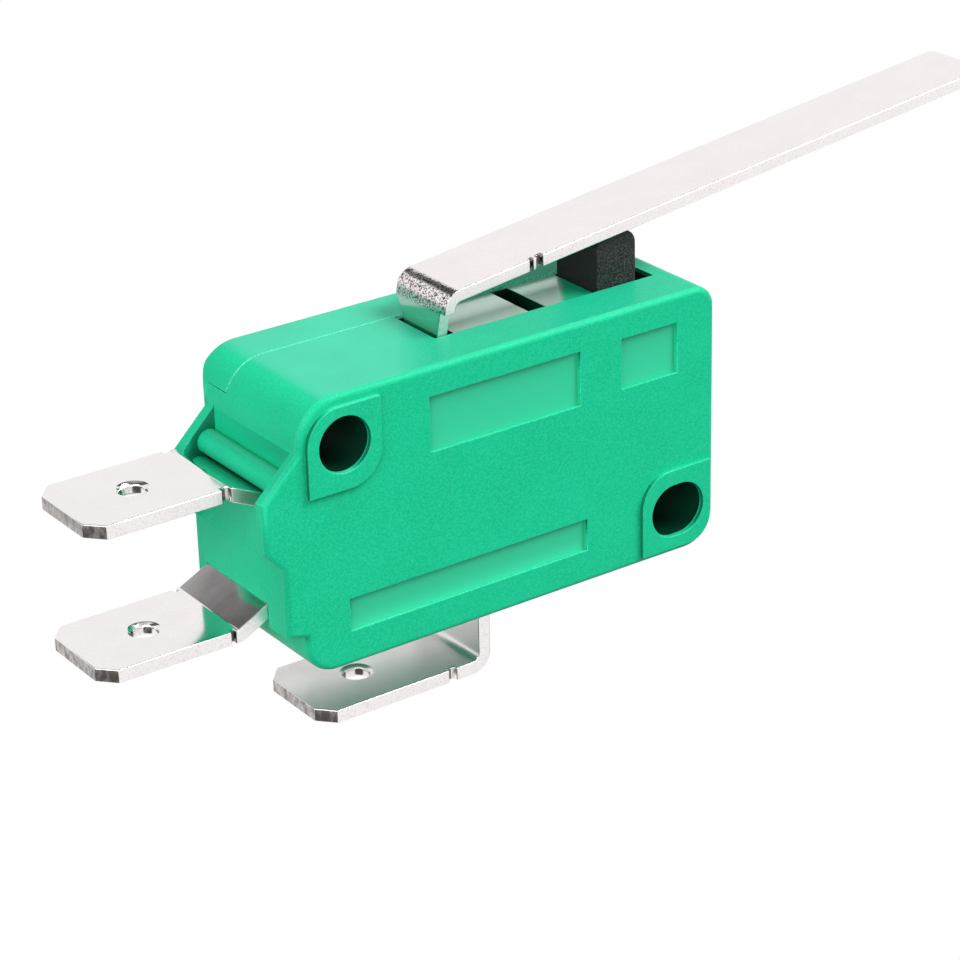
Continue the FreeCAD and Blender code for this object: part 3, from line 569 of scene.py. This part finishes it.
def slanted_masks(finish):
    """Shares of the strip's painted reflection and of the painted shade on the top beside the lever.
    """
    aside = finish.maths("MULTIPLY", finish.position("Y"), STRIP_SLANT)
    lengthwise = finish.maths("SUBTRACT", finish.position("X"), aside)
    ending = finish.ramp(lengthwise, *STRIP_END, to_low=1.0, to_high=0.0)
    strip = finish.maths("MULTIPLY", finish.inside(*STRIP), ending)
    return strip, finish.ramp(lengthwise, *TOP_END)


def seam_highlight_mask(finish, grain):
    """Share of the painted highlight along the seam, broken up by the grain."""
    turn_x, turn_z = SEAM_TURN
    past_turn = finish.maths("GREATER_THAN", finish.position("X"), turn_x)
    above_turn = finish.maths("GREATER_THAN", finish.position("Z"), turn_z)
    seam = finish.maths("MULTIPLY", finish.near("Y", SEAM_Y, SEAM_REACH),
                        finish.maths("MAXIMUM", past_turn, above_turn))
    return finish.maths("MULTIPLY", finish.ramp(grain, 0.38, 0.6), seam)


def rim_mask(finish):
    """Share of the shade on the pads' rims that face the terminals or down."""
    rim = finish.near("Y", FRONT_FACE - PAD_RISE / 2, PAD_RISE / 2 - RIM_MARGIN)
    turned = finish.maths("MAXIMUM", finish.ramp(finish.direction("X"), *RIM_TURN),
                          finish.ramp(finish.direction("Z"), *RIM_TURN))
    return finish.maths("MULTIPLY", finish.maths("MULTIPLY", rim, turned), RIM_SHADE)


def far_fin_mask(finish):
    """Share of the shade on the far fin's inner face."""
    fading = finish.ramp(finish.position("X"), *FAR_FIN_DEEP, to_high=FAR_FIN_SHADE)
    return finish.maths("MULTIPLY", finish.inside(*FAR_FIN), fading)


def hollow_shade_mask(finish):
    """1 on the walls of the bores and inside the case, which get painted shade."""
    bores = finish.maths("MAXIMUM", finish.inside(*ROUND_BORE), finish.inside(*SLOT_BORE))
    return finish.maths("MAXIMUM", bores, finish.inside(*CAVITY))


def green_plastic(settings):
    """Moulded green plastic: spark-eroded grain, smoother in the sunk fields and top strip."""
    finish = Finish("green_plastic")
    grain = finish.noise(settings.grain_scale, detail=3.0, roughness=0.6)
    cloud = finish.noise(330.0, detail=3.0, roughness=0.5)
    field = finish.near("Y", FIELD_FLOOR, FIELD_MARGIN)
    strip, beside_lever = slanted_masks(finish)
    # Painted sheen on the upward faces, turning into painted shade beside the lever
    top = finish.blend(beside_lever, rgba(settings.top_sheen_colour), rgba(settings.shaded_top_colour))
    # Painted highlight on the eased edges, broken up by the grain
    edge_glints = finish.maths("MULTIPLY", finish.eased(), finish.ramp(grain, 0.35, 0.6))
    edge, dark = rgba(settings.edge_colour), rgba(settings.painted_shade_colour)
    finish.into_shader("Base Color", finish.coated(rgba(settings.colour), (
        (finish.ramp(finish.facing("Z"), 0.93, 0.985), top),
        (finish.ramp(cloud, 0.3, 0.7, to_high=0.09), BLACK),
        (finish.ramp(grain, 0.4, 0.72, to_high=0.5), edge),
        (edge_glints, edge),
        (seam_highlight_mask(finish, grain), rgba(settings.seam_highlight_colour)),
        (rim_mask(finish), dark),
        (far_fin_mask(finish), dark),
        # Painted sheen on the floors of the sunk fields
        (field, rgba(settings.field_sheen_colour)),
        # Painted reflection on the strip under the lever
        (strip, rgba(settings.strip_reflection_colour)),
        # Painted shade in the bores and inside the case
        (hollow_shade_mask(finish), dark),
    )))
    smooth = finish.maths("MAXIMUM", field, strip)
    rough = finish.ramp(grain, 0.3, 0.7, settings.roughness - 0.06, settings.roughness + 0.08)
    rough = finish.blend(smooth, rough, settings.smooth_roughness, kind="FLOAT")
    finish.into_shader("Roughness", rough)
    finish.into_shader("Metallic", finish.maths("MULTIPLY", strip, settings.strip_metallic))
    finish.into_shader("Specular IOR Level", settings.specular)
    level = finish.blend(smooth, grain, 0.5, kind="FLOAT")
    finish.into_shader("Normal", finish.bump(level, settings.grain_height))
    return finish.material


def black_plastic(settings):
    """Fine matt black plastic of the plunger, with flecks that fade on its sides as painted shade."""
    finish = Finish("black_plastic")
    grain = finish.noise(8500.0, detail=3.0, roughness=0.6)
    # Painted shade: the lighter flecks fade on the faces that don't face front or back
    flecks = finish.maths("MULTIPLY", finish.ramp(grain, 0.42, 0.72),
                          finish.ramp(finish.facing("Y"), 0.3, 0.9, to_low=0.25))
    lighter = rgba(settings.colour, settings.fleck_factor)
    finish.into_shader("Base Color", finish.blend(flecks, rgba(settings.colour), lighter))
    finish.into_shader("Roughness", finish.ramp(grain, 0.3, 0.7, to_low=0.5, to_high=0.64))
    finish.into_shader("Specular IOR Level", settings.specular)
    finish.into_shader("Normal", finish.bump(grain, settings.grain_height))
    return finish.material


def nick_mask(finish, middle, reach, half_width):
    """Share of the shade on the walls of the nicks, which lie inside the sheet's sides."""
    aside = finish.maths("ABSOLUTE", finish.position("Y"))
    depth = finish.maths("SUBTRACT", aside, half_width)
    wall = finish.maths("MULTIPLY", finish.ramp(depth, *NICK_DEEP),
                        finish.ramp(depth, *NICK_SHALLOW, to_low=1.0, to_high=0.0))
    upright = finish.ramp(finish.facing("Z"), 0.4, 0.6, to_low=NICK_SHADE, to_high=0.0)
    cut_in = finish.maths("MULTIPLY", finish.near("X", middle, reach), upright)
    return finish.maths("MULTIPLY", wall, cut_in)


def bend_masks(finish, along, grain, bend_x, low_z):
    """Shares of the lever's foot, painted with a reflection of the case, and of the pits on the bend
    above it.
    """
    foot = finish.maths("MULTIPLY", finish.ramp(along, 0.95, 0.98),
                        finish.near("X", bend_x, LEVER_FOOT_REACH))
    above_foot = finish.ramp(finish.position("Z"), low_z - LEVER_BEND_FADE, low_z + LEVER_BEND_FADE)
    arc = finish.maths("MULTIPLY", finish.ramp(along, 0.16, 0.24), above_foot)
    bend = finish.maths("MULTIPLY", finish.near("X", bend_x, LEVER_BEND_REACH), arc)
    return foot, finish.maths("MULTIPLY", bend, finish.ramp(grain, 0.48, 0.57))


def sheet_metal(name, colour, roughness, settings, end_x, nicks, bend=None):
    """Plated sheet, faint rolling lines, torn end; painted dark reflection on the chamfers, painted
    shade in nicks.
    """
    finish = Finish(name)
    lines = finish.noise(900.0, detail=3.0, roughness=0.6, stretch=(0.06, 1.0, 1.0))
    grain = finish.noise(9000.0, detail=3.0, roughness=0.6)
    torn = finish.noise(3200.0, detail=4.0, roughness=0.65, stretch=(1.0, 1.0, 0.5))
    cloud = finish.noise(420.0, detail=4.0, roughness=0.55)
    along, across = finish.facing("X"), finish.facing("Y")
    side = finish.ramp(across, 0.6, 0.75)
    end = finish.maths("MULTIPLY", finish.near("X", end_x, SHEET_END_REACH),
                       finish.ramp(along, 0.85, 0.95))
    chamfer = finish.ramp(finish.maths("MULTIPLY", along, across), 0.35, 0.42)
    duller = rgba(colour, SHEET_DULL)
    cut, dark = rgba(settings.cut_colour), rgba(settings.chamfer_colour)
    face = finish.coated(rgba(colour), (
        (finish.ramp(cloud, 0.35, 0.7, to_high=0.5), duller),
        (finish.ramp(grain, 0.4, 0.65, to_high=0.6), duller),
    ))
    dressed = finish.coated(face, (
        (side, finish.blend(finish.ramp(grain, 0.52, 0.68, to_high=0.2), face, cut)),
        (end, finish.blend(finish.ramp(torn, 0.38, 0.85), cut, duller)),
        # Painted dark reflection on the chamfers, broken up by the torn grain
        (chamfer, finish.blend(finish.ramp(torn, 0.45, 0.8, to_high=0.3), dark, duller)),
        (nick_mask(finish, *nicks), dark),
    ))
    if bend is not None:
        # The foot gets a painted reflection of the case; the pits are the bend's own grain
        foot, pits = bend_masks(finish, along, grain, *bend)
        dressed = finish.coated(dressed, ((foot, rgba(settings.foot_colour)), (pits, dark)))
    finish.into_shader("Base Color", dressed)
    finish.into_shader("Metallic", 1.0)
    sheared = finish.maths("MAXIMUM", finish.maths("MAXIMUM", side, end), chamfer)
    rough = finish.ramp(cloud, 0.3, 0.7, roughness - 0.02, roughness + 0.03)
    rough = finish.blend(sheared, rough, settings.cut_roughness, kind="FLOAT")
    finish.into_shader("Roughness", rough)
    rolled = finish.bump(lines, 0.0012 * MM)
    finish.into_shader("Normal", finish.bump(grain, 0.0003 * MM, under=rolled))
    return finish.material


def plain_metal(name):
    """Drawn or pressed inner metal with a light grain."""
    finish = Finish(name)
    colour, roughness = INNER_METALS[name]
    grain = finish.noise(4200.0, detail=3.0, roughness=0.55)
    duller = rgba(part * share for part, share in zip(colour, INNER_DULL))
    finish.into_shader("Base Color", finish.blend(finish.ramp(grain, 0.35, 0.7), rgba(colour), duller))
    finish.into_shader("Metallic", 1.0)
    finish.into_shader("Roughness", finish.ramp(grain, 0.3, 0.7, roughness - 0.05, roughness + 0.05))
    finish.into_shader("Normal", finish.bump(grain, 0.002 * MM))
    return finish.material


class SWITCH_OT_housing(bpy.types.Operator):
    """Moulded case and cover with eased edges and grained green plastic"""
    bl_idname = "micro_switch.housing"
    bl_label = "Housing"

    def execute(self, context):
        settings = context.scene.switch_housing
        material = green_plastic(settings)
        for node in ("case", "cover"):
            piece = eased_copy(node, node + "_moulding", settings.edge_width, HOLE_CUTS)
            stand_in(piece, node, "housing", material)
        return {"FINISHED"}


class SWITCH_OT_plunger(bpy.types.Operator):
    """Black plunger under the lever"""
    bl_idname = "micro_switch.plunger"
    bl_label = "Plunger"

    def execute(self, context):
        settings = context.scene.switch_plunger
        piece = eased_copy("plunger", "plunger_moulding", settings.edge_width)
        stand_in(piece, "plunger", "button", black_plastic(settings))
        return {"FINISHED"}


class SWITCH_OT_lever(bpy.types.Operator):
    """Bent lever of steel sheet"""
    bl_idname = "micro_switch.lever"
    bl_label = "Lever"

    def execute(self, context):
        settings = context.scene.switch_metal
        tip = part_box("lever")[1].x
        material = sheet_metal("lever_steel", settings.lever_colour, settings.lever_roughness,
                               settings, tip, LEVER_NICKS, (LEVER_BEND_X, LEVER_BEND_LOW_Z))
        piece = eased_copy("lever", "lever_sheet", settings.edge_width,
                           filled=(*LEVER_FAR_NICKS, LEVER_NICKS[2]))
        stand_in(piece, "lever", "lever_arm", material)
        return {"FINISHED"}


class SWITCH_OT_terminals(bpy.types.Operator):
    """Plated terminals with their push-on tabs"""
    bl_idname = "micro_switch.terminals"
    bl_label = "Terminals"

    def execute(self, context):
        settings = context.scene.switch_metal
        for node in ("upper_terminal", "lower_terminal", "common_terminal"):
            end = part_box(node)[0].x
            roughness = settings.tab_roughness
            if node == "common_terminal":
                roughness = settings.dull_roughness
            material = sheet_metal(node + "_metal", settings.tab_colour, roughness, settings, end,
                                   TAB_NICKS[node])
            piece = eased_copy(node, node + "_sheet", settings.edge_width, TAB_HOLE_CUTS)
            stand_in(piece, node, "housing", material)
        return {"FINISHED"}


class SWITCH_OT_contacts(bpy.types.Operator):
    """Contact blade, contacts and return spring inside the case"""
    bl_idname = "micro_switch.contacts"
    bl_label = "Contacts and spring"

    def execute(self, context):
        silver = plain_metal("contact_metal")
        for node in ("upper_contact", "lower_contact", "moving_contact"):
            finish_node(node, silver)
        finish_node("contact_blade", plain_metal("blade_metal"))
        self.make_spring()
        return {"FINISHED"}

    def make_spring(self):
        """Smooth copy of the return spring, with a mesh of its own."""
        piece = merged_copy("return_spring", "coil_spring")
        bpy.ops.object.shade_smooth_by_angle(angle=SMOOTH_ANGLE)
        stand_in(piece, "return_spring", "housing", plain_metal("spring_steel"))
        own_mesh(piece)


def background_rays(tree):
    """1 for rays that show the background: the camera's, reflected ones and those through glass."""
    path = tree.nodes.new("ShaderNodeLightPath")
    share = path.outputs["Is Camera Ray"]
    for name in ("Is Glossy Ray", "Is Transmission Ray"):
        either = tree.nodes.new("ShaderNodeMath")
        either.operation = "MAXIMUM"
        tree.links.new(share, either.inputs[0])
        tree.links.new(path.outputs[name], either.inputs[1])
        share = either.outputs[0]
    return share


def add_lamp(name, place, target, size, power):
    """Square soft lamp that faces the target."""
    bpy.ops.object.light_add(type="AREA", location=place)
    lamp = bpy.context.object
    lamp.name = name
    lamp.data.size = size
    lamp.data.energy = power
    lamp.rotation_euler = (target - place).to_track_quat("-Z", "Y").to_euler()


class SWITCH_OT_stage(bpy.types.Operator):
    """Floor that shows white, soft lamps and the camera"""
    bl_idname = "micro_switch.stage"
    bl_label = "Stage"

    def execute(self, context):
        settings = context.scene.switch_stage
        self.make_world(settings)
        self.make_floor(settings)
        self.make_lamps(settings)
        self.make_camera(context, settings)
        context.scene.view_settings.view_transform = "Standard"
        return {"FINISHED"}

    def make_world(self, settings):
        """Plain light all round, and a white room with a dim upper part in view and reflections."""
        world = bpy.data.worlds.new("studio")
        bpy.context.scene.world = world
        world.use_nodes = True
        tree = world.node_tree
        background = tree.nodes["Background"]
        way = tree.nodes.new("ShaderNodeTexCoord")
        parts = tree.nodes.new("ShaderNodeSeparateXYZ")
        tree.links.new(way.outputs["Generated"], parts.inputs[0])
        dim = tree.nodes.new("ShaderNodeMapRange")
        dim.interpolation_type = "SMOOTHSTEP"
        dim.inputs["From Min"].default_value = math.sin(settings.dim_from)
        dim.inputs["From Max"].default_value = math.sin(settings.dim_to)
        dim.inputs["To Min"].default_value = 1.0
        dim.inputs["To Max"].default_value = settings.dim_level
        tree.links.new(parts.outputs["Z"], dim.inputs["Value"])
        level = tree.nodes.new("ShaderNodeMix")
        level.inputs["A"].default_value = settings.world_level
        tree.links.new(background_rays(tree), level.inputs["Factor"])
        tree.links.new(dim.outputs["Result"], level.inputs["B"])
        background.inputs["Color"].default_value = WHITE
        tree.links.new(level.outputs["Result"], background.inputs["Strength"])

    def make_floor(self, settings):
        """Painted for the light that falls on it, and white to the camera and in reflections."""
        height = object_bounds()[0].z - settings.floor_drop
        bpy.ops.mesh.primitive_circle_add(vertices=FLOOR_SIDES, radius=FLOOR_RADIUS,
                                          fill_type="NGON", location=(0, 0, height))
        floor = bpy.context.object
        floor.name = "floor"
        bpy.ops.object.transform_apply(location=True)
        material = bpy.data.materials.new("pale_floor")
        material.use_nodes = True
        tree = material.node_tree
        paint = tree.nodes["Principled BSDF"]
        paint.inputs["Base Color"].default_value = rgba(settings.floor_colour)
        paint.inputs["Roughness"].default_value = 0.9
        glow = tree.nodes.new("ShaderNodeEmission")
        mix = tree.nodes.new("ShaderNodeMixShader")
        tree.links.new(background_rays(tree), mix.inputs[0])
        tree.links.new(paint.outputs[0], mix.inputs[1])
        tree.links.new(glow.outputs[0], mix.inputs[2])
        tree.links.new(mix.outputs[0], tree.nodes["Material Output"].inputs["Surface"])
        floor.data.materials.append(material)
        floor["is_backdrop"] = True

    def make_lamps(self, settings):
        """Each lamp stands LAMP_DISTANCE away on its own side of the switch."""
        for name, (way, size) in LAMPS.items():
            power = getattr(settings, name + "_power")
            add_lamp(name + "_lamp", MIDDLE + Vector(way) * LAMP_DISTANCE, MIDDLE, size, power)

    def make_camera(self, context, settings):
        """Looks at the aim from the given angles, rolled about its own line of sight."""
        turn, lift, roll = settings.azimuth, settings.elevation, settings.roll
        back = Vector((math.sin(turn) * math.cos(lift), -math.cos(turn) * math.cos(lift),
                       math.sin(lift)))
        right = Vector((math.cos(turn), math.sin(turn), 0))
        up = back.cross(right)
        rolled_right = right * math.cos(roll) + up * math.sin(roll)
        rolled_up = up * math.cos(roll) - right * math.sin(roll)
        bpy.ops.object.camera_add()
        camera = context.object
        camera.name = "camera"
        facing = Matrix((rolled_right, rolled_up, back)).transposed().to_4x4()
        place = Vector(settings.aim) + back * settings.distance
        camera.matrix_world = Matrix.Translation(place) @ facing
        camera.data.sensor_width = SENSOR_WIDTH
        camera.data.lens = settings.focal_pixels / PICTURE_WIDTH * SENSOR_WIDTH
        camera.data.clip_start = CLIP_START
        camera.data.clip_end = CLIP_END
        context.scene.camera = camera


class SWITCH_PT_panel(bpy.types.Panel):
    """Steps that dress the switch, in order"""
    bl_label = "Lever micro switch"
    bl_idname = "SWITCH_PT_panel"
    bl_space_type = "VIEW_3D"
    bl_region_type = "UI"
    bl_category = "Switch"

    def draw(self, context):
        for settings_name, operators in STEPS:
            part = self.layout.box()
            settings = getattr(context.scene, settings_name)
            for key in settings.__annotations__:
                part.prop(settings, key)
            for operator in operators:
                part.operator(operator.bl_idname)


STEPS = (
    ("switch_housing", (SWITCH_OT_housing,)),
    ("switch_plunger", (SWITCH_OT_plunger,)),
    ("switch_metal", (SWITCH_OT_lever, SWITCH_OT_terminals, SWITCH_OT_contacts)),
    ("switch_stage", (SWITCH_OT_stage,)),
)
SETTINGS = {
    "switch_housing": HousingSettings,
    "switch_plunger": PlungerSettings,
    "switch_metal": MetalSettings,
    "switch_stage": StageSettings,
}


def all_classes():
    operators = [operator for _, group in STEPS for operator in group]
    return list(SETTINGS.values()) + operators + [SWITCH_PT_panel]


def register():
    for made in all_classes():
        bpy.utils.register_class(made)
    for name, kind in SETTINGS.items():
        setattr(bpy.types.Scene, name, PointerProperty(type=kind))


def unregister():
    for name in SETTINGS:
        delattr(bpy.types.Scene, name)
    for made in reversed(all_classes()):
        bpy.utils.unregister_class(made)


def main():
    register()
    bpy.ops.micro_switch.housing()
    bpy.ops.micro_switch.plunger()
    bpy.ops.micro_switch.lever()
    bpy.ops.micro_switch.terminals()
    bpy.ops.micro_switch.contacts()
    bpy.ops.micro_switch.stage()


if __name__ == "__main__":
    main()
